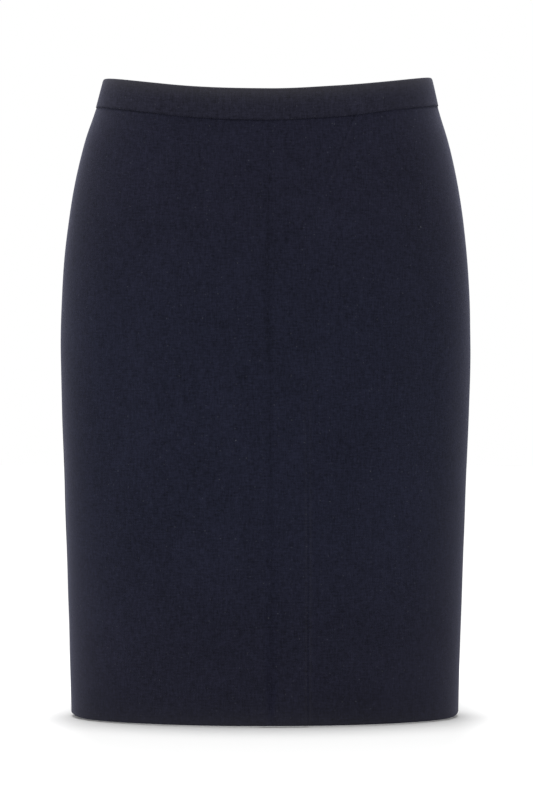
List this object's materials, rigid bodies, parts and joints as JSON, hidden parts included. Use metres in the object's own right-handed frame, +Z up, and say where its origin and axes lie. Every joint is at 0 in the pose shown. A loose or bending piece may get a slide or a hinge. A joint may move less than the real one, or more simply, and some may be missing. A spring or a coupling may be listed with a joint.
{
  "type": "pencil skirt",
  "caption": "Knee-length pencil skirt, filled out as worn, with a shaped waistband, centre-front seam and vent, waist darts and a concealed zip at the centre back.",
  "frame": {"origin": "centre of the waist, level with the waist seam at the sides, where the wearer's waist holds the skirt", "axes": "+Z up, from the hem to the waistband; the front faces -Y; +X towards the wearer's left"},
  "size_m": [0.381, 0.2551, 0.592],
  "materials": {
    "cloth": "matt navy plain weave with a short nap",
    "zip_tape": "fine navy woven tape",
    "zip_metal": "satin navy enamel"
  },
  "bodies": {
    "skirt": {"waistband_front": "cloth", "waistband_back_left": "cloth", "waistband_back_right": "cloth", "front_panel_left": "cloth", "front_panel_right": "cloth", "back_panel_left": "cloth", "back_panel_right": "cloth", "vent_underlay": "cloth", "zip_tape_left": "zip_tape", "zip_tape_right": "zip_tape", "zip_slider": "zip_metal"},
    "pull_tab": {"zip_pull_tab": "zip_metal"}
  },
  "joints": [
    {"name": "pull_tab_swing", "type": "hinge", "parent": "skirt", "child": "pull_tab", "pos_m": [0, 0.09949, 0.01231], "axis": [1, 0, 0], "range_deg": [0, 170]}
  ]
}
